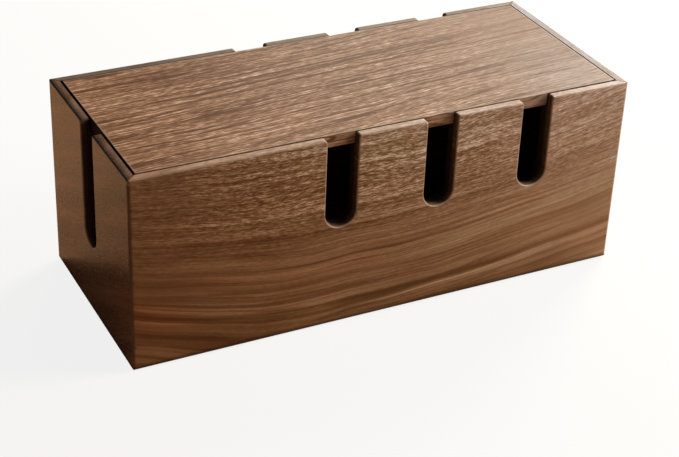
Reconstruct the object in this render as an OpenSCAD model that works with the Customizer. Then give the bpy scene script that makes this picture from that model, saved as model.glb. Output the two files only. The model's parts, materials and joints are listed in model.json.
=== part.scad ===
// Cable management box: four mitred walnut walls, three of them with U-shaped
// cable slots, a bottom board let into the walls, and a loose lid that drops
// into a rebate and lies flush with the rim. Millimetres. +X is the right end,
// -Y the front and +Z up. The origin is on the table, under the middle of the box.

/* [Box] */
// Length over the two end walls
box_l = 310; // [240:1:450]
// Depth over the front and back walls
box_w = 130; // [90:1:220]
// Height from the table to the rim
box_h = 120; // [100:1:200]
// Thickness of the wall boards
wall_t = 10; // [8.5:0.5:16]

/* [Lid] */
// Thickness of the lid board
lid_t = 8; // [5:0.5:14]
// Width of the rim that stays outside the lid
rim_w = 5; // [3.5:0.5:7]
// Gap between the rim and the lid's left end
lid_gap_left = 1.4; // [0.3:0.1:2]
// Gap between the rim and the lid's right end
lid_gap_right = 0.5; // [0.3:0.1:2]
// Gap between the rim and the lid's front edge
lid_gap_front = 1.2; // [0.3:0.1:1.5]
// Gap between the rim and the lid's back edge
lid_gap_back = 0.3; // [0.3:0.1:1.5]
// Radius of the arris along the lid's top edges
lid_arris = 0.5; // [0.3:0.1:1.5]
// Radius that eases the lid's bottom edges into the rebate
lid_ease = 1.5; // [0.3:0.1:2]

/* [Cable slots] */
// Width of every cable slot
slot_w = 19; // [12:0.5:26]
// Slots in the front wall, and as many in the back wall
slot_count = 3; // [1:1:4]
// Distance from one slot to the next
slot_pitch = 62; // [40:1:75]
// Distance from the right end of the box to the first slot
slot_start = 62; // [40:1:100]
// Depth of the front and back slots below the rim
long_slot_d = 55.5; // [25:0.5:85]
// Depth of the left end wall's slot below the rim
end_slot_d = 75; // [25:0.5:85]
// Radius of the two corners at a slot's mouth
mouth_r = 1.6; // [1.5:0.1:5]

/* [Bottom board] */
// Thickness of the bottom board
bottom_t = 6; // [4:0.5:10]
// How far the bottom board reaches into the walls
bottom_lap = 5; // [3:0.5:6.5]

/* [Edges] */
// Round-over of the outer rim and of the slots' outer edges
edge_r = 1; // [0.5:0.1:1.4]
// Rounding of the four upright corners
corner_r = 2; // [0.4:0.1:3]
// Rounding of the outer bottom edges
foot_r = 1.5; // [0.4:0.1:2]

/* [Corner splines] */
// Thickness of the hidden spline in each mitre
spline_t = 2.5; // [2:0.5:3.5]
// Width of a spline across the mitre
spline_w = 8; // [5:0.5:9]
// Distance of a spline from the inside corner of its mitre
spline_set = 3; // [2:0.5:4]
// Wood left above and below a spline
spline_cover = 8; // [4:1:20]
// Glue gap round the splines and the bottom board
glue_gap = 0.1; // [0:0.05:0.3]

/* [Pads] */
// Diameter of the anti-slip pads
pad_d = 16; // [8:1:24]
// Height of the pads
pad_t = 1; // [1:0.5:4]
// Distance of a pad's middle from the outer faces
pad_inset = 24; // [18:1:32]
// Chamfer round a pad's lower edge
pad_chamfer = 0.4; // [0.1:0.1:0.8]

/* [Hidden] */

$fn = 96;

walnut = [0.42, 0.27, 0.18];
walnut_end = [0.34, 0.22, 0.14];
walnut_lid = [0.50, 0.34, 0.24];
beech = [0.80, 0.66, 0.48];
rubber = [0.12, 0.12, 0.12];

over = 1;                           // how far a cutter runs on into the air
half_l = box_l / 2;
half_w = box_w / 2;
base_z = pad_t;                     // underside of the walls and bottom board
floor_z = base_z + bottom_t;        // top of the bottom board
ledge_z = box_h - lid_t;            // shelf in the walls that carries the lid
arc_r = slot_w / 2;                 // half-round bottom of a slot
lip_t = wall_t - bottom_lap;        // wood outside the bottom board

// Slot centres along X, counted from the right end
slot_x = [for (i = [0 : slot_count - 1]) half_l - slot_start - i * slot_pitch];

// ---- Cutters ----

// Section of the waste that a round-over of radius r takes off a square edge.
// The edge is at the origin and the wood lies towards +X and +Y.
module corner_waste(r) {
    difference() {
        translate([-over, -over]) square(r + over);
        translate([r, r]) circle(r);
    }
}

// The same waste along a straight edge that runs up +Z
module edge_waste(len, r) {
    linear_extrude(len) corner_waste(r);
}

// The round-over waste along an arc of radius r_path about the origin, on a
// wall's outer face. It runs from angle a0 through turn degrees, measured
// from +X towards -Z. The wood is outside the arc for side 1, inside for -1.
module arc_waste(r_path, a0, turn, side) {
    rotate([-90, 0, 0]) rotate([0, 0, a0]) rotate_extrude(angle = turn)
        translate([r_path, 0]) scale([side, 1]) corner_waste(edge_r);
}

// A flat outline in X and Z, cut from the outer face right through a wall
module through_wall() {
    translate([0, wall_t + over, 0]) rotate([90, 0, 0])
        linear_extrude(wall_t + 2 * over) children();
}

// Outline of a slot that is open at z = 0, with its mouth corners rounded
module slot_outline(depth) {
    translate([-arc_r, arc_r - depth]) square([slot_w, depth - arc_r + over]);
    translate([0, arc_r - depth]) circle(arc_r);
    for (side = [-1, 1])
        translate([side * arc_r, 0]) scale([side, -1]) corner_waste(mouth_r);
}

// All that comes out of a wall for one slot: the slot itself, and the
// round-over that follows its outer edge down one side, round the bottom, up
// the other side and round both mouth corners
module slot_waste(depth) {
    through_wall() slot_outline(depth);
    translate([0, 0, arc_r - depth]) arc_waste(arc_r, 0, 180, 1);
    for (side = [0, 1]) mirror([side, 0, 0]) {
        translate([arc_r, 0, arc_r - depth])
            edge_waste(depth - arc_r - mouth_r, edge_r);
        translate([arc_r + mouth_r, 0, -mouth_r]) arc_waste(mouth_r, 180, 90, -1);
    }
}

// ---- Corner splines ----

spline_z = floor_z + spline_cover;
spline_h = ledge_z - spline_cover - spline_z;
spline_mid = wall_t - (spline_set + spline_t / 2) / sqrt(2);

// A spline, or its groove when gap is the glue gap, at the corner on the given
// sides (-1 is left or front). It lies square across the mitre.
module spline_bar(side_x, side_y, gap) {
    translate([side_x * (half_l - spline_mid), side_y * (half_w - spline_mid), spline_z - gap])
        rotate([0, 0, -45 * side_x * side_y])
            translate([-spline_w / 2 - gap, -spline_t / 2 - gap, 0])
                cube([spline_w + 2 * gap, spline_t + 2 * gap, spline_h + 2 * gap]);
}

// ---- Walls ----

// Section through a wall: outer face at x = 0, the lid's rebate at the top and
// the bottom board's rebate at the foot
module wall_section() {
    difference() {
        translate([0, base_z]) square([wall_t, box_h - base_z]);
        translate([rim_w, ledge_z]) square([wall_t, lid_t + over]);
        translate([lip_t, base_z - over]) square([wall_t, bottom_t + over]);
        translate([0, box_h]) scale([1, -1]) corner_waste(edge_r);
        translate([0, base_z]) corner_waste(foot_r);
    }
}

// Plan of a wall with its ends cut to the mitre
module mitre_plan(len) {
    out = len / 2 + over;
    in = len / 2 - wall_t - over;
    polygon([[-out, -over], [out, -over], [in, wall_t + over], [-in, wall_t + over]]);
}

// A mitred wall with its outer face at y = 0 and slots of one depth at the given places
module wall(len, slots, depth) {
    difference() {
        intersection() {
            translate([-len / 2, 0, 0]) rotate([90, 0, 90])
                linear_extrude(len) wall_section();
            linear_extrude(box_h + over) mitre_plan(len);
        }
        for (x = slots) translate([x, 0, box_h]) slot_waste(depth);
        for (side = [-1, 1]) translate([side * len / 2, 0, 0]) scale([-side, 1, 1])
            edge_waste(box_h + over, corner_r);
    }
}

module front_wall() {
    color(walnut) difference() {
        translate([0, -half_w, 0]) wall(box_l, slot_x, long_slot_d);
        for (side_x = [-1, 1]) spline_bar(side_x, -1, glue_gap);
    }
}

module back_wall() {
    color(walnut) difference() {
        translate([0, half_w, 0]) rotate([0, 0, 180]) wall(box_l, -slot_x, long_slot_d);
        for (side_x = [-1, 1]) spline_bar(side_x, 1, glue_gap);
    }
}

module left_end_wall() {
    color(walnut_end) difference() {
        translate([-half_l, 0, 0]) rotate([0, 0, -90]) wall(box_w, [0], end_slot_d);
        for (side_y = [-1, 1]) spline_bar(-1, side_y, glue_gap);
    }
}

module right_end_wall() {
    color(walnut_end) difference() {
        translate([half_l, 0, 0]) rotate([0, 0, 90]) wall(box_w, [], 0);
        for (side_y = [-1, 1]) spline_bar(1, side_y, glue_gap);
    }
}

// ---- Boards ----

module bottom_board() {
    edge_in = lip_t + glue_gap;
    color(walnut_end) translate([edge_in - half_l, edge_in - half_w, base_z])
        cube([box_l - 2 * edge_in, box_w - 2 * edge_in, bottom_t]);
}

lid_l = box_l - 2 * rim_w - lid_gap_left - lid_gap_right;
lid_w = box_w - 2 * rim_w - lid_gap_front - lid_gap_back;

// The round-over waste along the four bottom edges of the lid board
module lid_edge_waste(r) {
    for (side = [0, 1]) {
        translate([-over, side * lid_w, 0]) mirror([0, side, 0]) rotate([90, 0, 90])
            edge_waste(lid_l + 2 * over, r);
        translate([side * lid_l, lid_w + over, 0]) mirror([side, 0, 0]) rotate([90, 0, 0])
            edge_waste(lid_w + 2 * over, r);
    }
}

// The lid lies on the ledges, its top level with the rim
module lid() {
    color(walnut_lid)
        translate([rim_w + lid_gap_left - half_l, rim_w + lid_gap_front - half_w, ledge_z])
            difference() {
                cube([lid_l, lid_w, lid_t]);
                lid_edge_waste(lid_ease);
                translate([0, 0, lid_t]) mirror([0, 0, 1]) lid_edge_waste(lid_arris);
            }
}

// ---- Splines and pads ----

module spline_front_left() { color(beech) spline_bar(-1, -1, 0); }
module spline_front_right() { color(beech) spline_bar(1, -1, 0); }
module spline_back_left() { color(beech) spline_bar(-1, 1, 0); }
module spline_back_right() { color(beech) spline_bar(1, 1, 0); }

module pad(side_x, side_y) {
    r = pad_d / 2;
    color(rubber)
        translate([side_x * (half_l - pad_inset), side_y * (half_w - pad_inset), 0])
            rotate_extrude()
                polygon([[0, 0], [r - pad_chamfer, 0], [r, pad_chamfer], [r, pad_t], [0, pad_t]]);
}

module pad_front_left() { pad(-1, -1); }
module pad_front_right() { pad(1, -1); }
module pad_back_left() { pad(-1, 1); }
module pad_back_right() { pad(1, 1); }

front_wall();
back_wall();
left_end_wall();
right_end_wall();
bottom_board();
lid();
spline_front_left();
spline_front_right();
spline_back_left();
spline_back_right();
pad_front_left();
pad_front_right();
pad_back_left();
pad_back_right();
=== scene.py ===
"""Looks of the walnut cable management box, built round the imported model.

Lengths are in metres, as in the model. The wood is worked out in board space: the
place along, across and through a board, in millimetres. The box stands on the
floor with its front towards -Y.
"""
import json
import math
from typing import NamedTuple

import bpy
from mathutils import Matrix, Vector


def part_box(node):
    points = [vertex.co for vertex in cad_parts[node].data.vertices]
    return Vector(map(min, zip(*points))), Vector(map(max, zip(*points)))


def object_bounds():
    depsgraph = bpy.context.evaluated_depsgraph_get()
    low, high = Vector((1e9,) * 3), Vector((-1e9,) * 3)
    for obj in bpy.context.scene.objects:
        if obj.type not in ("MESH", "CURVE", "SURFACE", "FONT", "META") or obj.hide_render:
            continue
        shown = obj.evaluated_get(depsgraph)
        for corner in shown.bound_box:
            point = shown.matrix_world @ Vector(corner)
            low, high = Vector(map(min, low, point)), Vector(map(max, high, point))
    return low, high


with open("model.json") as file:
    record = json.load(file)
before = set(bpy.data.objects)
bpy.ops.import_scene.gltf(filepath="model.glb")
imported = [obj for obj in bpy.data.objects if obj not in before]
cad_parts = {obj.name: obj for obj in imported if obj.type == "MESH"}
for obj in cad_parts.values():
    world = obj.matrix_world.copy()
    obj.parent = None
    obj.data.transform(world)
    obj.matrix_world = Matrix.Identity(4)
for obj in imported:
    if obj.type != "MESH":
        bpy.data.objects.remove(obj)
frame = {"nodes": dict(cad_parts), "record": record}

cad_low, cad_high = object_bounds()

MM = 0.001
MM_IN_METRE = 1000.0
LENGTH, DEPTH, HEIGHT = (MM_IN_METRE * side for side in cad_high - cad_low)
FOOT = MM_IN_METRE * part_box("front_wall")[0].z
X, Y, Z = Vector((1, 0, 0)), Vector((0, 1, 0)), Vector((0, 0, 1))
WHITE = (1.0, 1.0, 1.0)


# ---- Shader helpers ----

def new_material(name):
    """An empty node material: (material, its tree, its Principled shader)."""
    material = bpy.data.materials.new(name)
    material.use_nodes = True
    tree = material.node_tree
    tree.nodes.clear()
    output = tree.nodes.new("ShaderNodeOutputMaterial")
    shader = tree.nodes.new("ShaderNodeBsdfPrincipled")
    tree.links.new(shader.outputs["BSDF"], output.inputs["Surface"])
    return material, tree, shader


def feed(tree, socket, value):
    """Sets a socket to a number or tuple, or links it to another socket."""
    if isinstance(value, bpy.types.NodeSocket):
        tree.links.new(value, socket)
    else:
        socket.default_value = value


def calc(tree, operation, a, b=0.0, c=0.0, clamp=False):
    """One Math node's result."""
    node = tree.nodes.new("ShaderNodeMath")
    node.operation = operation
    node.use_clamp = clamp
    for socket, value in zip(node.inputs, (a, b, c)):
        feed(tree, socket, value)
    return node.outputs[0]


def product(tree, *factors):
    result = factors[0]
    for factor in factors[1:]:
        result = calc(tree, "MULTIPLY", result, factor)
    return result


def total(tree, *parts):
    result = parts[0]
    for part in parts[1:]:
        result = calc(tree, "ADD", result, part)
    return result


def plus(tree, base, part, share, clamp=False):
    """base with a share of part added to it."""
    return calc(tree, "MULTIPLY_ADD", part, share, base, clamp=clamp)


def minus(tree, a, b, clamp=False):
    return calc(tree, "SUBTRACT", a, b, clamp=clamp)


def larger(tree, a, b):
    return calc(tree, "MAXIMUM", a, b)


def remap(tree, value, low, high, to_low=0.0, to_high=1.0, smooth=True):
    """value from low..high onto to_low..to_high, held at both ends."""
    node = tree.nodes.new("ShaderNodeMapRange")
    node.interpolation_type = "SMOOTHSTEP" if smooth else "LINEAR"
    node.clamp = True
    for socket, v in zip(node.inputs, (value, low, high, to_low, to_high)):
        feed(tree, socket, v)
    return node.outputs[0]


def blend_number(tree, share, a, b):
    """Two numbers mixed; share is how much of b there is."""
    return plus(tree, a, share, minus(tree, b, a))


def bump_at(tree, value, at, reach):
    """1 where value is at, falling softly to 0 at reach on either side."""
    away = calc(tree, "ABSOLUTE", minus(tree, value, at))
    return remap(tree, away, 0.0, reach, 1.0, 0.0)


def between(tree, value, start, end, soft):
    """1 between start and end, with soft ends."""
    rise = remap(tree, value, start, start + soft)
    fall = remap(tree, value, end - soft, end, 1.0, 0.0)
    return product(tree, rise, fall)


def vector(tree, x, y, z):
    node = tree.nodes.new("ShaderNodeCombineXYZ")
    for socket, value in zip(node.inputs, (x, y, z)):
        feed(tree, socket, value)
    return node.outputs[0]


def split(tree, source):
    node = tree.nodes.new("ShaderNodeSeparateXYZ")
    tree.links.new(source, node.inputs[0])
    return node.outputs


def object_place(tree):
    """A point's x, y and z in metres."""
    return split(tree, tree.nodes.new("ShaderNodeTexCoord").outputs["Object"])


class Pattern(NamedTuple):
    """A noise: its size in mm along each part of a place, its look and its seed."""
    sizes: tuple
    detail: float
    roughness: float
    seed: float


# Keeps the parts of a place from meeting the noise at the same point
SEED_STEP = 7.3


def noise(tree, parts, pattern, seed=0.0):
    """A pattern from -1 to 1; the parts of the place are in mm."""
    start = seed + pattern.seed
    scaled = [
        calc(tree, "MULTIPLY_ADD", part, 1.0 / size, start + SEED_STEP * i)
        for i, (part, size) in enumerate(zip(parts, pattern.sizes))
    ]
    node = tree.nodes.new("ShaderNodeTexNoise")
    if len(scaled) == 1:
        node.noise_dimensions = "1D"
        feed(tree, node.inputs["W"], scaled[0])
    else:
        node.noise_dimensions = "3D"
        feed(tree, node.inputs["Vector"], vector(tree, *scaled))
    node.inputs["Scale"].default_value = 1.0
    node.inputs["Detail"].default_value = pattern.detail
    node.inputs["Roughness"].default_value = pattern.roughness
    return calc(tree, "MULTIPLY_ADD", node.outputs[0], 2.0, -1.0)


def ramp(tree, value, stops):
    """A colour ramp; stops are (place, (r, g, b)) in linear light."""
    node = tree.nodes.new("ShaderNodeValToRGB")
    elements = node.color_ramp.elements
    while len(elements) < len(stops):
        elements.new(0.5)
    for element, (place, colour) in zip(elements, stops):
        element.position = place
        element.color = (*colour, 1.0)
    feed(tree, node.inputs[0], value)
    return node.outputs[0]


def blend(tree, share, a, b, kind="MIX"):
    """Two colours mixed; share is how much of b there is."""
    node = tree.nodes.new("ShaderNodeMix")
    node.data_type = "RGBA"
    node.blend_type = kind
    feed(tree, node.inputs["Factor"], share)
    sockets = [s for s in node.inputs if s.type == "RGBA"]
    for socket, value in zip(sockets, (a, b)):
        feed(tree, socket, value if isinstance(value, bpy.types.NodeSocket) else (*value, 1.0))
    return [s for s in node.outputs if s.type == "RGBA"][0]


def tinted(tree, colour, share, tint):
    """A colour multiplied by a share of a tint."""
    return blend(tree, 1.0, colour, blend(tree, share, WHITE, tint), "MULTIPLY")


def add_relief(tree, shader, height, strength, depth_mm):
    """Fine relief on the shader's surface."""
    bump = tree.nodes.new("ShaderNodeBump")
    bump.inputs["Strength"].default_value = strength
    bump.inputs["Distance"].default_value = depth_mm * MM
    tree.links.new(height, bump.inputs["Height"])
    tree.links.new(bump.outputs[0], shader.inputs["Normal"])


# ---- The boards ----

# How each board lies: its grain, its width and its outer side, and the point where
# all three are zero. Heights across the walls are counted from the floor.
BOARDS = {
    "front_wall": ((X, Z, -Y), (0.0, -DEPTH / 2, 0.0)),
    "back_wall": ((-X, Z, Y), (0.0, DEPTH / 2, 0.0)),
    "left_end_wall": ((-Y, Z, -X), (-LENGTH / 2, 0.0, 0.0)),
    "right_end_wall": ((Y, Z, X), (LENGTH / 2, 0.0, 0.0)),
    "bottom_board": ((X, -Y, -Z), (0.0, 0.0, FOOT)),
    "lid": ((X, Y, Z), (0.0, 0.0, HEIGHT)),
}

# Light and dark wood differ by a power law: dark wood is also redder. Walls and lid
# are of two trees.
WALL_POWERS = (0.81, 1.08, 1.42)
LID_POWERS = (0.83, 1.08, 1.35)


class Bend(NamedTuple):
    """How the growth lines bend along a board, curves being lift by squared length."""
    at: float
    slope: float
    left_foot: float
    left_top: float
    right: float


class Streak(NamedTuple):
    """A pale or dark streak along the rings, in mm; its height counts at the bend."""
    height: float
    half_width: float
    strength: float
    start: float
    end: float
    warmth: float = 0.0


class Wood(NamedTuple):
    """One board's wood. Lengths and places are in mm, in board space."""
    name: str
    board: str
    base: tuple  # middle colour, in linear light
    seed: float
    bend: Bend
    heart: tuple  # where the tree's heart lies, (across, through)
    streaks: tuple = ()
    powers: tuple = WALL_POWERS
    wander: float = 7.0  # how far the growth lines stray
    warm_spread: float = 0.3

    # How strong each part of the grain is
    flecks: float = 0.8
    lines: float = 0.8
    pores: float = 0.4
    rings: float = 0.4
    bands: float = 0.35
    hairs: float = 0.3
    fleck_size: tuple = (4.0, 0.7)
    line_gap: float = 1.8
    hair_gap: float = 2.8

    # Shares of the fine and the bold grain at ((foot, top), (left, right))
    fine_run: tuple = ((1.0, 1.0), (1.0, 1.0))
    bold_run: tuple = ((1.0, 1.0), (1.0, 1.0))
    calm_left: float = 1.0  # share of the fine grain at the left end

    # Paler by tilt, and greyer by a painted sheen, (along, across) for each 100 mm
    tilt: tuple = (0.0, 0.0)
    painted_sheen: tuple = (0.0, 0.0)
    middle: float = 60.0  # the place across from which both are counted
    corner_sheen: float = 0.0  # more painted sheen at the front right corner

    # The edges paled by wear and by a painted highlight, at the left and at the right, and
    # what is left of it at the rim and on the upright corners
    edge_wear_and_highlight: tuple = (0.8, 0.8)
    rim_wear_and_highlight: float = 1.0
    corner_wear_and_highlight: tuple = (1.0, 1.0)
    outline_wear_and_highlight: float = 0.0  # wear and painted highlight along a flat board's outline

    # Painted light on the narrow sides, such as the rim's top: a tint, and the tint's share at the
    # right
    narrow_light_tint: tuple = WHITE
    tint_right: float = 1.0

    # Painted shade: deeper in, from one depth to another, where the inside is also left matt;
    # a painted contact shadow at the foot; painted shade on the rim's outer edge; and painted
    # shade in the gap, on the lid's sides that the walls cover, (left, right)
    depth: tuple = (-1.0, -5.0)
    painted_deep_shade: float = 0.8
    painted_foot_shadow: float = 0.0
    painted_rim_edge_shade: float = 0.0
    painted_gap_shade: tuple = ()

    mitred: bool = True
    dents: tuple = ()  # heights of small dents beside the mitred corners
    roughness: float = 0.42
    specular: float = 0.5
    relief: float = 0.3


# ---- Where a point of a board lies ----

CURVE_HEIGHTS = (40.0, 104.0)
FRAY_REACH = 0.5
WANDER = Pattern((120.0, 70.0, 70.0), 2.0, 0.5, 3.1)
FRAY = Pattern((45.0, 5.0, 5.0), 1.0, 0.6, 9.7)


class Place(NamedTuple):
    """Where a point of a board lies: sockets, in mm."""
    u: object  # along the board
    v: object  # across the board
    w: object  # through the board, 0 at its outer side
    across: object  # across the growth lines, which bend
    ring: object  # from the tree's heart

    @property
    def grain(self):
        return self.u, self.across, self.w


def board_space(tree, axes, zero):
    """Along, across and through a board in mm, through being 0 at its outer side."""
    to_board = Matrix(axes)
    mapping = tree.nodes.new("ShaderNodeMapping")
    mapping.vector_type = "POINT"
    mapping.inputs["Scale"].default_value = (MM_IN_METRE, MM_IN_METRE, MM_IN_METRE)
    mapping.inputs["Rotation"].default_value = to_board.to_euler("XYZ")
    mapping.inputs["Location"].default_value = -(to_board @ Vector(zero))
    place = tree.nodes.new("ShaderNodeTexCoord").outputs["Object"]
    tree.links.new(place, mapping.inputs["Vector"])
    return split(tree, mapping.outputs[0])


def find_place(tree, wood):
    """The point's place, with growth lines that bend and wander."""
    u, v, w = board_space(tree, *BOARDS[wood.board])
    bend = wood.bend
    du = minus(tree, u, bend.at)
    left = calc(tree, "MINIMUM", du, 0.0)
    right = larger(tree, du, 0.0)
    curve_left = remap(tree, v, *CURVE_HEIGHTS, bend.left_foot, bend.left_top, smooth=False)
    lift = total(tree, product(tree, left, left, curve_left),
                 product(tree, right, right, bend.right), product(tree, du, bend.slope))
    slow = noise(tree, (u, v, w), WANDER, wood.seed)
    across = minus(tree, v, plus(tree, lift, slow, wood.wander))

    heart_across, heart_through = wood.heart
    rise = minus(tree, across, heart_across)
    sink = minus(tree, w, heart_through)
    ring = calc(tree, "SQRT", calc(tree, "MULTIPLY_ADD", rise, rise, product(tree, sink, sink)))
    frayed = noise(tree, (u, across, w), FRAY, wood.seed)
    return Place(u, v, w, across, plus(tree, ring, frayed, FRAY_REACH))


def facing(tree, axis):
    """How squarely a surface faces along an axis, from 0 to 1, squared."""
    normal = tree.nodes.new("ShaderNodeTexCoord").outputs["Normal"]
    dot = tree.nodes.new("ShaderNodeVectorMath")
    dot.operation = "DOT_PRODUCT"
    tree.links.new(normal, dot.inputs[0])
    dot.inputs[1].default_value = axis
    return product(tree, dot.outputs["Value"], dot.outputs["Value"])


def mitre_gap(tree):
    """How far a point lies from the nearest mitre's glue line, in mm, and its height."""
    x, y, z = object_place(tree)
    run_x = minus(tree, calc(tree, "ABSOLUTE", x), LENGTH / 2 * MM)
    run_y = minus(tree, calc(tree, "ABSOLUTE", y), DEPTH / 2 * MM)
    gap = calc(tree, "ABSOLUTE", minus(tree, run_x, run_y))
    return product(tree, gap, math.sqrt(0.5) / MM), product(tree, z, MM_IN_METRE)


def from_outline(tree, place, board):
    """How far a place lies inside a flat board's outline, in mm."""
    low, high = (MM_IN_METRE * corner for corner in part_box(board))
    inside = [minus(tree, place.u, low.x), minus(tree, high.x, place.u),
              minus(tree, place.v, low.y), minus(tree, high.y, place.v)]
    nearest = inside[0]
    for distance in inside[1:]:
        nearest = calc(tree, "MINIMUM", nearest, distance)
    return nearest


SLOT_ROOM = 2.0
SLOT_SOFTNESS = 1.0


def away_from_slots(tree, u):
    """1 along the box, but 0 where the slots of the front wall show the lid's side."""
    # Marks where the painted gap shade goes: everywhere but at the front slots
    gap_shade = 1.0
    for opening in frame["record"]["physics"]["openings"]:
        if opening["name"].startswith("front_slot"):
            low, high = (MM_IN_METRE * corner[0] for corner in opening["box_m"])
            in_slot = between(tree, u, low - SLOT_ROOM, high + SLOT_ROOM, SLOT_SOFTNESS)
            gap_shade = product(tree, minus(tree, 1.0, in_slot), gap_shade)
    return gap_shade


# ---- The sides of a board ----

# Distances below the rim over which a wall's narrow side begins to count as the rim
RIM_START, RIM_FULL = 8.0, 4.0
# Depths between which the rebated rim passes into the wall's inner side
INNER_SIDE = (-5.2, -5.8)
# How much the painted inside shade eases off on the wall's inner faces
INNER_PALE = 0.45
EDGE_GAIN = 7.0
PATCH_SPREAD = 0.5
PATCH_LEVEL = 0.75
# Patches that break up the pale edges
EDGE_PATCHES = Pattern((9.0, 9.0, 9.0), 3.0, 0.6, 17.0)


class Sides(NamedTuple):
    """Which side of a board a point is on: sockets, from 0 to 1."""
    outer: object  # faces out or in
    narrow: object  # faces along the board's width
    end_grain: object
    edge: object  # rounded, between an outer side and another
    deep: object  # inside, where no polish reaches: left matt and darkened by painted shade


def find_sides(tree, place, wood):
    along_axis, across_axis, out_axis = BOARDS[wood.board][0]
    outer = facing(tree, out_axis)
    narrow = facing(tree, across_axis)
    if wood.mitred:
        narrow = product(tree, narrow, remap(tree, place.v, HEIGHT - RIM_START, HEIGHT - RIM_FULL))

    slant = minus(tree, EDGE_GAIN, product(tree, outer, EDGE_GAIN))
    edge = calc(tree, "MULTIPLY", outer, slant, clamp=True)
    patchy = noise(tree, (place.u, place.v, place.w), EDGE_PATCHES, wood.seed)
    edge = product(tree, edge, plus(tree, PATCH_LEVEL, patchy, PATCH_SPREAD, clamp=True))

    # Where painted shade darkens the inside: deeper than the given depths, not on the rim
    deep = remap(tree, place.w, *wood.depth, smooth=False)
    deep = product(tree, deep, minus(tree, 1.0, narrow, clamp=True))
    inner = product(tree, outer, remap(tree, place.w, *INNER_SIDE))
    deep = product(tree, deep, plus(tree, 1.0, inner, -INNER_PALE))
    return Sides(outer, narrow, facing(tree, along_axis), edge, deep)


# ---- Grain ----

LINE_LENGTH = 200.0
HAIR_LENGTH = 160.0
HAIR_REACH = 0.13
BANDS = Pattern((11.0,), 1.0, 0.5, 0.0)
RINGS = Pattern((4.8,), 1.0, 0.5, 61.0)
CROWDS = Pattern((110.0, 15.0, 15.0), 0.0, 0.5, 52.0)
PATCHES = Pattern((60.0, 14.0, 14.0), 2.0, 0.5, 6.0)
STRANDS = Pattern((32.0, 1.3, 1.3), 1.0, 0.6, 5.0)
PORES = Pattern((9.0, 1.0, 1.0), 1.0, 0.5, 11.0)
WARMTH = Pattern((80.0, 24.0, 24.0), 1.0, 0.5, 13.0)

# Rings are faint in some places and crowded in others
CROWD_RANGE = (-0.25, 0.25)
CROWD_SHARES = (0.25, 1.75)

# How the lines' weight is shared out
STRAND_SHARE = 0.5
LINE_SHARE = 0.7
BOLD_LINE_SHARE = 0.2

# Open pores: short dark dashes, more of them in the pale rings
PORE_RANGE = (0.12, 0.42)
PORES_IN_RINGS = 0.15

# Where the grain changes its kind, up the board and along it
RUN_HEIGHTS = (44.0, 92.0)
RUN_PLACES = (20.0, 140.0)
CALM_PLACES = (-145.0, -80.0)
NARROW_CALM = 0.6

PER_100_MM = 0.01
STREAK_SOFTNESS = 1.6
STREAK_FADE = 40.0


class Grain(NamedTuple):
    """A board's grain as sockets."""
    shade: object
    warmth: object
    flecks: object
    strands: object
    pores: object


def run(tree, place, foot_top, left_right):
    """A share that changes from a board's foot to its top, and from left to right."""
    upward = remap(tree, place.v, *RUN_HEIGHTS, *foot_top)
    return product(tree, upward, remap(tree, place.u, *RUN_PLACES, *left_right))


def find_grain(tree, place, sides, wood):
    """The grain: its shade above or below 0, its warmth, and its fine parts."""
    seed = wood.seed
    gap = wood.line_gap
    fleck_length, fleck_width = wood.fleck_size
    long_lines = noise(tree, place.grain, Pattern((LINE_LENGTH, gap, gap), 1.0, 0.6, 80.0), seed)
    strands = noise(tree, place.grain, STRANDS, seed)
    flecks = noise(tree, place.grain,
                   Pattern((fleck_length, fleck_width, fleck_width), 1.0, 0.6, 21.0), seed)
    fine = total(tree, product(tree, flecks, wood.flecks),
                 product(tree, strands, STRAND_SHARE * wood.lines),
                 product(tree, long_lines, LINE_SHARE * wood.lines))
    fine = product(tree, fine, plus(tree, 1.0, sides.narrow, -NARROW_CALM))
    fine = product(tree, fine, remap(tree, place.u, *CALM_PLACES, wood.calm_left, 1.0))

    rings = noise(tree, (place.ring,), RINGS, seed)
    bands = noise(tree, (place.ring,), BANDS, seed)
    gap = wood.hair_gap
    hairs = noise(tree, place.grain, Pattern((HAIR_LENGTH, gap, gap), 0.0, 0.5, 33.0), seed)
    hairs = bump_at(tree, hairs, 0.0, HAIR_REACH)
    crowded = remap(tree, noise(tree, place.grain, CROWDS, seed), *CROWD_RANGE, *CROWD_SHARES)
    bold = total(tree, product(tree, rings, crowded, wood.rings), product(tree, bands, wood.bands))
    bold = plus(tree, bold, long_lines, BOLD_LINE_SHARE * wood.lines)
    bold = plus(tree, bold, hairs, -wood.hairs)

    patches = noise(tree, place.grain, PATCHES, seed)
    shade = total(tree, product(tree, fine, run(tree, place, *wood.fine_run)),
                  product(tree, bold, run(tree, place, *wood.bold_run)),
                  product(tree, patches, wood.bands))
    if any(wood.tilt):
        along, across = wood.tilt
        shade = plus(tree, shade, place.u, PER_100_MM * along)
        shade = plus(tree, shade, minus(tree, place.v, wood.middle), PER_100_MM * across)

    warmth = product(tree, noise(tree, place.grain, WARMTH, seed), wood.warm_spread)
    heart_across, heart_through = wood.heart
    for streak in wood.streaks:
        distance = math.hypot(streak.height - heart_across, heart_through)
        mark = bump_at(tree, place.ring, distance, streak.half_width * STREAK_SOFTNESS)
        fade = min(STREAK_FADE, (streak.end - streak.start) / 3)
        mark = product(tree, mark, between(tree, place.u, streak.start, streak.end, fade))
        shade = plus(tree, shade, mark, streak.strength)
        if streak.warmth:
            warmth = plus(tree, warmth, mark, streak.warmth)

    pores = noise(tree, place.grain, PORES, seed)
    pores = remap(tree, plus(tree, pores, rings, PORES_IN_RINGS), *PORE_RANGE)
    pores = product(tree, pores, run(tree, place, *wood.fine_run))
    shade = plus(tree, shade, pores, -wood.pores)
    return Grain(shade, warmth, flecks, strands, pores)


# ---- Shade of the sides and seams ----

END_GRAIN_SHADE = -0.6
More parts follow.
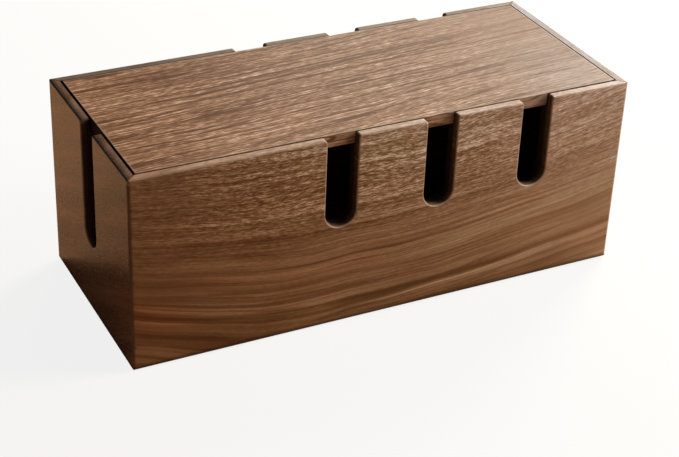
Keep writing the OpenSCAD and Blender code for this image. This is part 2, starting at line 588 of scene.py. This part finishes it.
# Painted shade inside, as a darker tone
PAINTED_DEEP_TONE = -0.5

# The glue line of a mitre: half its width and where it ends, and its dents
SEAM_RANGE = (0.30, 0.70)
SEAM_SHADE = -1.2
DENT_HALF_HEIGHT = 1.6
DENT_RANGE = (0.3, 2.2)


def side_shade(tree, shade, sides, gap, height, wood):
    """The grain's shade, darker on end grain, with painted shade inside, and darker along the
    mitres.
    """
    shade = plus(tree, shade, sides.end_grain, END_GRAIN_SHADE)
    shade = plus(tree, shade, sides.deep, PAINTED_DEEP_TONE * wood.painted_deep_shade)
    if wood.mitred:
        seam = remap(tree, gap, *SEAM_RANGE, 1.0, 0.0)
        for dent_height in wood.dents:
            dent = product(tree, bump_at(tree, height, dent_height, DENT_HALF_HEIGHT),
                           remap(tree, gap, *DENT_RANGE, 1.0, 0.0))
            seam = larger(tree, seam, dent)
        shade = plus(tree, shade, seam, SEAM_SHADE)
    return shade


# ---- Colour ----

TONE_REACH = 1.2
RAMP_STEPS = 8

# Tints that the wood's colour is multiplied by
REDDISH = (1.16, 0.90, 0.80)
OLIVE = (0.96, 1.07, 0.94)
# Painted sheen: greyer and paler one way along the gradient, deeper and redder the other way
SHEEN_TINT = (1.0, 1.32, 1.90)
UNSHEENED_TINT = (1.0, 0.80, 0.61)
FULL_SHEEN = 2.6
FULL_UNSHEEN = -2.0
TINT_PLACES = (40.0, 150.0)

# The lid's corner with more painted sheen, along it and from its middle across
SHEEN_CORNER_ALONG = (60.0, 150.0)
SHEEN_CORNER_ACROSS = (50.0, -50.0)


def wood_tones(base, powers):
    """Ramp stops for a shade from 0, darkest, to 1, palest, with base in the middle."""
    stops = []
    for step in range(RAMP_STEPS + 1):
        place = step / RAMP_STEPS
        lift = math.exp(TONE_REACH * (2.0 * place - 1.0))
        stops.append((place, tuple(c * lift ** power for c, power in zip(base, powers))))
    return stops


def wood_colour(tree, shade, warmth, place, sides, wood):
    """The wood's colour, with painted sheen and painted light on the narrow sides, before the pale
    edges and the dark places.
    """
    tone = calc(tree, "MULTIPLY_ADD", shade, 0.5 / TONE_REACH, 0.5, clamp=True)
    colour = ramp(tree, tone, wood_tones(wood.base, wood.powers))
    colour = tinted(tree, colour, remap(tree, warmth, 0.0, 1.0, smooth=False), REDDISH)
    colour = tinted(tree, colour, remap(tree, warmth, 0.0, -1.0, smooth=False), OLIVE)
    if any(wood.painted_sheen):
        along, across = wood.painted_sheen
        from_middle = minus(tree, place.v, wood.middle)
        sheen = total(tree, product(tree, place.u, PER_100_MM * along),
                     product(tree, from_middle, PER_100_MM * across))
        if wood.corner_sheen:
            corner = product(tree, remap(tree, place.u, *SHEEN_CORNER_ALONG),
                             remap(tree, from_middle, *SHEEN_CORNER_ACROSS))
            sheen = plus(tree, sheen, corner, wood.corner_sheen)
        colour = tinted(tree, colour, remap(tree, sheen, 0.0, FULL_SHEEN, smooth=False), SHEEN_TINT)
        colour = tinted(tree, colour, remap(tree, sheen, 0.0, FULL_UNSHEEN, smooth=False), UNSHEENED_TINT)
    # Painted light: narrow sides such as the rim's top tinted by how they face the light
    if wood.narrow_light_tint != WHITE:
        share = product(tree, sides.narrow, remap(tree, place.u, *TINT_PLACES, 1.0, wood.tint_right))
        colour = tinted(tree, colour, share, wood.narrow_light_tint)
    return colour


# ---- Wear and painted edge highlights ----

WEAR_AND_HIGHLIGHT_LIFT = 0.80
WEAR_AND_HIGHLIGHT_POWER = 0.35
# Distances below the rim: where the rim's own wear and painted highlight begins, and where it is
# full
RIM_PALE_START, RIM_PALE_FULL = 3.0, 1.0
# Distances below the rim and from the glue line where an upright corner's wear and painted highlight
# ends
CORNER_START, CORNER_END = 4.0, 2.0
CORNER_GAP = (1.5, 3.5)
OUTLINE_PALE_RANGE = (0.4, 1.6)


def wear_and_highlight_share(tree, place, sides, gap, wood):
    """How far the edges are paled: partly real wear, partly a painted highlight on the rounded
    edges.
    """
    wear_and_highlight = product(tree, sides.edge, remap(tree, place.u, -LENGTH / 2, LENGTH / 2, *wood.edge_wear_and_highlight))
    if wood.mitred:
        wear_and_highlight = product(tree, wear_and_highlight, remap(tree, place.v, HEIGHT - RIM_PALE_START,
                                         HEIGHT - RIM_PALE_FULL, 1.0, wood.rim_wear_and_highlight))
        corner = remap(tree, place.u, -LENGTH / 4, LENGTH / 4, *wood.corner_wear_and_highlight)
        elsewhere = larger(tree, remap(tree, gap, *CORNER_GAP),
                           remap(tree, place.v, HEIGHT - CORNER_START, HEIGHT - CORNER_END))
        wear_and_highlight = product(tree, wear_and_highlight, blend_number(tree, elsewhere, corner, 1.0))
    if wood.outline_wear_and_highlight:
        inside = from_outline(tree, place, wood.board)
        near = remap(tree, inside, *OUTLINE_PALE_RANGE, wood.outline_wear_and_highlight, 0.0)
        wear_and_highlight = larger(tree, wear_and_highlight, product(tree, near, sides.outer))
    return wear_and_highlight


def wear_and_highlight_colour(base):
    return tuple(WEAR_AND_HIGHLIGHT_LIFT * c ** WEAR_AND_HIGHLIGHT_POWER for c in base)


# ---- Dark end grain and painted shade ----

# Near black: dark end grain, and painted shade inside, on the rim's outer edge and at the foot
END_GRAIN_AND_SHADE_DARK = (0.012, 0.004, 0.002)
# Dark brown for the painted shade in the gap between the lid and the walls
GAP_SHADE_COLOUR = (0.062, 0.021, 0.008)
END_GRAIN_DARK = 0.5

# Painted shade in the gap where the walls cover the lid's sides, stronger to the right and to the
# back
GAP_SHADE_PLACES = (70.0, 125.0)
GAP_SHADE_ACROSS = (0.0, 50.0)
GAP_SHADE_AT_BACK = 2.2

# Painted shade on the rim's rounded outer edge, as distances below the rim and as depths
RIM_EDGE_START, RIM_EDGE_FULL = 1.2, 0.6
RIM_EDGE_DEPTHS = (-4.5, -0.7)
# Distances above the foot over which the painted contact shadow at the foot ends
FOOT_EDGE, FOOT_END = 0.5, 4.5


def gap_shade_share(tree, place, sides, wood):
    """How dark the painted shade is on the lid's sides in the gap, left out where the slots show
    them.
    """
    darkness = remap(tree, place.u, *GAP_SHADE_PLACES, *wood.painted_gap_shade)
    darkness = product(tree, darkness, remap(tree, place.v, *GAP_SHADE_ACROSS, 1.0, GAP_SHADE_AT_BACK))
    darkness = product(tree, away_from_slots(tree, place.u), darkness)
    return calc(tree, "MULTIPLY", minus(tree, 1.0, sides.outer), darkness, clamp=True)


def end_grain_and_shade_share(tree, place, sides, wood):
    """How dark end grain is, with painted shade inside, on the rim's outer edge and at the foot."""
    dark_and_shaded = larger(tree, product(tree, sides.end_grain, END_GRAIN_DARK),
                    product(tree, sides.deep, wood.painted_deep_shade))
    if wood.painted_rim_edge_shade:
        rim = product(tree, remap(tree, place.v, HEIGHT - RIM_EDGE_START, HEIGHT - RIM_EDGE_FULL),
                      remap(tree, place.w, *RIM_EDGE_DEPTHS))
        dark_and_shaded = larger(tree, dark_and_shaded, product(tree, rim, wood.painted_rim_edge_shade))
    if wood.painted_foot_shadow:
        near_foot = remap(tree, place.v, FOOT + FOOT_EDGE, FOOT + FOOT_END, wood.painted_foot_shadow, 0.0)
        dark_and_shaded = larger(tree, dark_and_shaded, near_foot)
    return dark_and_shaded


# ---- Walnut ----

RAW_ROUGHNESS = 0.9
STRAND_GLOSS = 0.04
PORE_GLOSS = 0.35
PORE_RELIEF = -1.9
STRAND_RELIEF = 0.18
FLECK_RELIEF = 0.1
RELIEF_DEPTH = 0.15


def walnut(wood):
    """One walnut board's material."""
    material, tree, shader = new_material(wood.name)
    place = find_place(tree, wood)
    sides = find_sides(tree, place, wood)
    grain = find_grain(tree, place, sides, wood)
    gap, height = mitre_gap(tree) if wood.mitred else (None, None)

    shade = side_shade(tree, grain.shade, sides, gap, height, wood)
    colour = wood_colour(tree, shade, grain.warmth, place, sides, wood)
    wear_and_highlight = wear_and_highlight_share(tree, place, sides, gap, wood)
    colour = blend(tree, wear_and_highlight, colour, wear_and_highlight_colour(wood.base))
    raw = larger(tree, sides.end_grain, sides.deep)
    if wood.painted_gap_shade:
        gap_shade = gap_shade_share(tree, place, sides, wood)
        colour = blend(tree, gap_shade, colour, GAP_SHADE_COLOUR)
        raw = larger(tree, raw, gap_shade)
    colour = blend(tree, end_grain_and_shade_share(tree, place, sides, wood), colour, END_GRAIN_AND_SHADE_DARK)
    tree.links.new(colour, shader.inputs["Base Color"])

    roughness = plus(tree, wood.roughness, grain.strands, STRAND_GLOSS * wood.lines)
    roughness = plus(tree, roughness, grain.pores, PORE_GLOSS * wood.pores)
    roughness = blend_number(tree, raw, roughness, RAW_ROUGHNESS)
    tree.links.new(roughness, shader.inputs["Roughness"])
    shader.inputs["Specular IOR Level"].default_value = wood.specular

    relief = total(tree, product(tree, grain.pores, PORE_RELIEF * wood.pores),
                   product(tree, grain.strands, STRAND_RELIEF * wood.lines),
                   product(tree, grain.flecks, FLECK_RELIEF * wood.flecks))
    add_relief(tree, shader, relief, wood.relief, RELIEF_DEPTH)
    return material


FRONT_STREAKS = (
    Streak(108.0, 12.0, 0.25, -70.0, 90.0, warmth=-0.4),
    Streak(102.5, 1.0, 0.60, -125.0, 60.0),
    Streak(82.0, 1.6, -0.35, -155.0, -60.0, warmth=0.2),
    Streak(72.0, 15.0, 0.14, -120.0, 30.0),
    Streak(66.0, 2.2, -0.35, -155.0, -40.0, warmth=0.3),
    Streak(57.0, 1.6, -0.35, -155.0, -50.0, warmth=0.3),
    Streak(48.0, 1.2, -0.45, -60.0, 175.0, warmth=0.2),
    Streak(44.5, 1.2, -0.45, -30.0, 130.0, warmth=0.2),
    Streak(60.0, 45.0, -0.28, -230.0, -105.0),
    Streak(18.0, 14.0, 0.20, -75.0, 25.0),
    Streak(22.0, 22.0, -0.16, 95.0, 200.0),
    Streak(38.0, 4.5, 0.40, -125.0, 30.0, warmth=0.35),
    Streak(37.0, 5.0, 0.38, -5.0, 175.0, warmth=-0.5),
    Streak(30.5, 1.3, -0.50, -120.0, 165.0, warmth=0.2),
    Streak(10.0, 6.0, -0.15, -100.0, 40.0, warmth=-0.5),
    Streak(12.0, 9.0, 0.0, -200.0, -110.0, warmth=0.8),
)

# Painted shade: the left end darker towards its front
LEFT_END_FRONT_SHADE = (Streak(60.0, 60.0, -0.22, 15.0, 110.0),)

LID_STREAKS = (
    Streak(40.0, 14.0, 0.20, -200.0, -105.0),
    Streak(5.0, 30.0, 0.14, -200.0, -85.0),
    Streak(36.0, 8.0, -0.18, -115.0, -30.0),
    Streak(34.0, 16.0, 0.12, 35.0, 125.0),
    Streak(27.0, 0.9, 0.25, -150.0, 30.0),
    Streak(17.5, 1.2, -0.45, -150.0, 10.0),
    Streak(-40.0, 14.0, 0.24, -120.0, -30.0),
    Streak(-42.6, 0.7, -0.35, -110.0, 20.0),
    Streak(-45.0, 0.8, 0.50, -115.0, 30.0),
    Streak(-47.5, 0.9, -0.45, -110.0, 20.0),
    Streak(0.8, 0.8, 0.40, 0.0, 100.0),
    Streak(-1.8, 0.8, -0.40, 0.0, 100.0),
)

# The front wall: flecked near the rim, with long bold lines lower down
FRONT = Wood(
    name="walnut_front", board="front_wall", base=(0.289, 0.175, 0.103), seed=2.0,
    bend=Bend(-40.0, 0.0, 0.0019, 0.0007, 0.0005), heart=(-160.0, -30.0), streaks=FRONT_STREAKS,
    flecks=2.2, lines=1.4, pores=0.45, rings=0.6, bands=0.45, hairs=0.3,
    fleck_size=(3.2, 0.56), line_gap=1.3, hair_gap=4.2,
    fine_run=((0.18, 1.0), (1.0, 0.55)), bold_run=((1.4, 0.45), (1.1, 0.5)), calm_left=0.5,
    tilt=(0.18, 0.25), painted_sheen=(0.7, 1.2),
    edge_wear_and_highlight=(0.85, 1.0), rim_wear_and_highlight=0.5, corner_wear_and_highlight=(0.25, 1.0),
    narrow_light_tint=(1.52, 1.54, 1.76), tint_right=0.66,
    depth=(-1.0, -6.0), painted_deep_shade=0.92, painted_foot_shadow=0.8, dents=(102.0, 58.0, 16.0), specular=0.3)

BACK = Wood(
    name="walnut_back", board="back_wall", base=(0.285, 0.150, 0.078), seed=21.0,
    bend=Bend(20.0, 0.02, 0.0008, 0.0006, 0.0004), heart=(-150.0, -40.0),
    narrow_light_tint=(0.68, 0.91, 1.38), depth=(-0.5, -4.0), painted_deep_shade=0.92, painted_foot_shadow=0.8,
    specular=0.3)

# The left end: smooth, polished and almost without grain
LEFT_END = Wood(
    name="walnut_left_end", board="left_end_wall", base=(0.212, 0.082, 0.034), seed=33.0,
    bend=Bend(0.0, 0.5, 0.0004, 0.0004, 0.0004), heart=(-120.0, -90.0), streaks=LEFT_END_FRONT_SHADE,
    flecks=0.0, lines=0.0, pores=0.05, rings=0.1, bands=0.85, hairs=0.0,
    corner_wear_and_highlight=(0.4, 0.1), narrow_light_tint=(1.05, 1.45, 2.0), painted_rim_edge_shade=0.85,
    depth=(-0.5, -4.0), painted_deep_shade=0.92, painted_foot_shadow=0.8, roughness=0.27, specular=0.7, relief=0.03)

RIGHT_END = Wood(
    name="walnut_right_end", board="right_end_wall", base=(0.170, 0.092, 0.050), seed=47.0,
    bend=Bend(10.0, 0.0, 0.0006, 0.0006, 0.0004), heart=(-110.0, -80.0),
    flecks=0.6, lines=0.5, pores=0.3, rings=0.5, bands=0.4, hairs=0.4,
    edge_wear_and_highlight=(1.0, 1.0), narrow_light_tint=(1.41, 2.23, 4.40), painted_foot_shadow=0.8)

BOTTOM = Wood(
    name="walnut_bottom", board="bottom_board", base=(0.250, 0.105, 0.044), seed=58.0,
    bend=Bend(30.0, 0.01, 0.0002, 0.0002, 0.0002), heart=(-200.0, -70.0), mitred=False,
    roughness=0.6)

# The lid: thin dark hairlines, with a painted sheen towards the front right corner
LID = Wood(
    name="walnut_lid", board="lid", base=(0.344, 0.198, 0.123), seed=64.0,
    bend=Bend(-150.0, 0.04, 0.0, 0.0, 0.00012), heart=(-320.0, -60.0), streaks=LID_STREAKS,
    powers=LID_POWERS, wander=4.0, warm_spread=0.15,
    flecks=1.8, lines=1.15, pores=0.4, rings=0.15, bands=0.1, hairs=1.6,
    fleck_size=(5.0, 0.8), line_gap=1.1, hair_gap=3.0,
    fine_run=((1.0, 1.0), (1.0, 0.35)), bold_run=((1.0, 1.0), (1.0, 0.4)),
    tilt=(-0.02, -0.15), painted_sheen=(0.7, 0.2), middle=0.0, corner_sheen=2.4,
    edge_wear_and_highlight=(0.3, 0.3), outline_wear_and_highlight=0.45, narrow_light_tint=(1.0, 1.15, 1.30),
    depth=(-0.4, -0.9), painted_deep_shade=0.05, painted_gap_shade=(0.90, 3.0), mitred=False, specular=0.2)


# ---- Beech splines and rubber pads ----

RAYS = Pattern((0.5, 0.5, 2.5), 1.0, 0.5, 3.0)
GROWTH = Pattern((2.0, 2.0, 60.0), 2.0, 0.5, 9.0)
GRIT = Pattern((0.4, 0.4, 0.4), 2.0, 0.5, 5.0)


def place_in_mm(tree):
    return [product(tree, part, MM_IN_METRE) for part in object_place(tree)]


def beech(name):
    """Pale raw beech with short flecks, its grain upright."""
    material, tree, shader = new_material(name)
    place = place_in_mm(tree)
    rays = noise(tree, place, RAYS)
    growth = noise(tree, place, GROWTH)
    shade = total(tree, product(tree, rays, 0.25), product(tree, growth, 0.3), 0.5)
    colour = ramp(tree, shade, [(0.2, (0.42, 0.24, 0.12)), (0.8, (0.66, 0.45, 0.26))])
    tree.links.new(colour, shader.inputs["Base Color"])
    shader.inputs["Roughness"].default_value = 0.65
    add_relief(tree, shader, rays, 0.2, 0.1)
    return material


def rubber(name):
    """Matt black rubber with a fine grit."""
    material, tree, shader = new_material(name)
    grit = noise(tree, place_in_mm(tree), GRIT)
    level = calc(tree, "MULTIPLY_ADD", grit, 0.5, 0.5)
    colour = ramp(tree, level, [(0.3, (0.012, 0.012, 0.013)), (0.7, (0.030, 0.030, 0.031))])
    tree.links.new(colour, shader.inputs["Base Color"])
    tree.links.new(remap(tree, level, 0.3, 0.7, 0.65, 0.9), shader.inputs["Roughness"])
    add_relief(tree, shader, grit, 0.4, 0.1)
    return material


# ---- Materials on the pieces ----

def dress(node, material):
    """Gives a CAD node its material."""
    piece = frame["nodes"][node]
    piece.data.materials.clear()
    piece.data.materials.append(material)


for wood in (FRONT, BACK, LEFT_END, RIGHT_END, BOTTOM, LID):
    dress(wood.board, walnut(wood))

spline_beech = beech("spline_beech")
pad_rubber = rubber("pad_rubber")
for node in frame["nodes"]:
    if node.startswith("spline"):
        dress(node, spline_beech)
    elif node.startswith("pad"):
        dress(node, pad_rubber)


# ---- Floor, lights and camera ----

FLOOR_REACH = 6.0
FLOOR_BOUNCE = (0.80, 0.50, 0.30)
FLOOR_ROUGHNESS = 0.9
SHADOW_SHARE = 0.15
WORLD_LEVEL = 0.06
WARM_WHITE = (1.0, 0.88, 0.72)
LAMP_DISTANCE = 1.6
LAMP_SIZE = 0.6


def mix_shaders(tree, share, first, second):
    """Two shader nodes mixed; share is how much of the second there is."""
    mix = tree.nodes.new("ShaderNodeMixShader")
    feed(tree, mix.inputs[0], share)
    tree.links.new(first.outputs[0], mix.inputs[1])
    tree.links.new(second.outputs[0], mix.inputs[2])
    return mix


def make_floor():
    """A pale floor: white to the camera, apart from a soft shadow."""
    mesh = bpy.data.meshes.new("floor")
    corners = [(x, y, 0.0) for x, y in ((-1, -1), (1, -1), (1, 1), (-1, 1))]
    mesh.from_pydata([Vector(c) * FLOOR_REACH for c in corners], [], [(0, 1, 2, 3)])
    floor = bpy.data.objects.new("floor", mesh)
    bpy.context.scene.collection.objects.link(floor)
    material, tree, shader = new_material("pale_floor")
    shader.inputs["Base Color"].default_value = (*FLOOR_BOUNCE, 1.0)
    shader.inputs["Roughness"].default_value = FLOOR_ROUGHNESS
    shader.inputs["Specular IOR Level"].default_value = 0.0
    glow = tree.nodes.new("ShaderNodeEmission")
    glow.inputs["Color"].default_value = (*WHITE, 1.0)
    shaded = tree.nodes.new("ShaderNodeBsdfDiffuse")
    shaded.inputs["Color"].default_value = (*WHITE, 1.0)
    backdrop = mix_shaders(tree, SHADOW_SHARE, glow, shaded)
    seen = tree.nodes.new("ShaderNodeLightPath").outputs["Is Camera Ray"]
    both = mix_shaders(tree, seen, shader, backdrop)
    output = [n for n in tree.nodes if n.type == "OUTPUT_MATERIAL"][0]
    tree.links.new(both.outputs[0], output.inputs["Surface"])
    mesh.materials.append(material)


def make_world():
    """Dim light from all round, seen as white."""
    world = bpy.data.worlds.new("studio")
    bpy.context.scene.world = world
    world.use_nodes = True
    tree = world.node_tree
    tree.nodes.clear()
    output = tree.nodes.new("ShaderNodeOutputWorld")
    background = tree.nodes.new("ShaderNodeBackground")
    seen = tree.nodes.new("ShaderNodeLightPath").outputs["Is Camera Ray"]
    strength = remap(tree, seen, 0.0, 1.0, WORLD_LEVEL, 1.0, smooth=False)
    tree.links.new(strength, background.inputs["Strength"])
    background.inputs["Color"].default_value = (*WHITE, 1.0)
    tree.links.new(background.outputs[0], output.inputs[0])


def soft_light(name, azimuth, elevation, power):
    """A square soft light aimed at the box; azimuth is counted from +X towards +Y."""
    aim = Vector((0.0, 0.0, HEIGHT / 2 * MM))
    turn, tilt = math.radians(azimuth), math.radians(elevation)
    way = Vector((math.cos(turn) * math.cos(tilt), math.sin(turn) * math.cos(tilt), math.sin(tilt)))
    data = bpy.data.lights.new(name, "AREA")
    data.shape = "SQUARE"
    data.size = LAMP_SIZE
    data.energy = power
    data.color = WARM_WHITE
    light = bpy.data.objects.new(name, data)
    light.location = aim + way * LAMP_DISTANCE
    light.rotation_euler = (-way).to_track_quat("-Z", "Y").to_euler()
    bpy.context.scene.collection.objects.link(light)


FRAME_WIDTH_PX = 679
FOCAL_PX = 1685.3
SENSOR_MM = 36.0
CAMERA_PLACE = (-0.40506, -0.78164, 0.54287)
CAMERA_ANGLES = (-27.53, 30.67, 2.46)
NEAREST, FARTHEST = 0.01, 50.0


def make_camera():
    """The camera; its angles are azimuth, elevation and roll in degrees."""
    azimuth, elevation, roll = (math.radians(angle) for angle in CAMERA_ANGLES)
    back = Vector((math.sin(azimuth) * math.cos(elevation), -math.cos(azimuth) * math.cos(elevation),
                   math.sin(elevation)))
    right = Z.cross(back).normalized()
    up = back.cross(right)
    turn = Matrix.Rotation(roll, 3, back)
    data = bpy.data.cameras.new("camera")
    data.sensor_width = SENSOR_MM
    data.lens = FOCAL_PX / FRAME_WIDTH_PX * SENSOR_MM
    data.clip_start = NEAREST
    data.clip_end = FARTHEST
    camera = bpy.data.objects.new("camera", data)
    axes = Matrix([turn @ right, turn @ up, back]).transposed()
    camera.matrix_world = Matrix.Translation(CAMERA_PLACE) @ axes.to_4x4()
    bpy.context.scene.collection.objects.link(camera)
    bpy.context.scene.camera = camera


make_floor()
make_world()
soft_light("window", 32.0, 28.0, 23.0)
soft_light("side", 340.0, 28.0, 23.0)
soft_light("low", 60.0, 12.0, 6.0)
make_camera()
bpy.context.scene.view_settings.view_transform = "Standard"
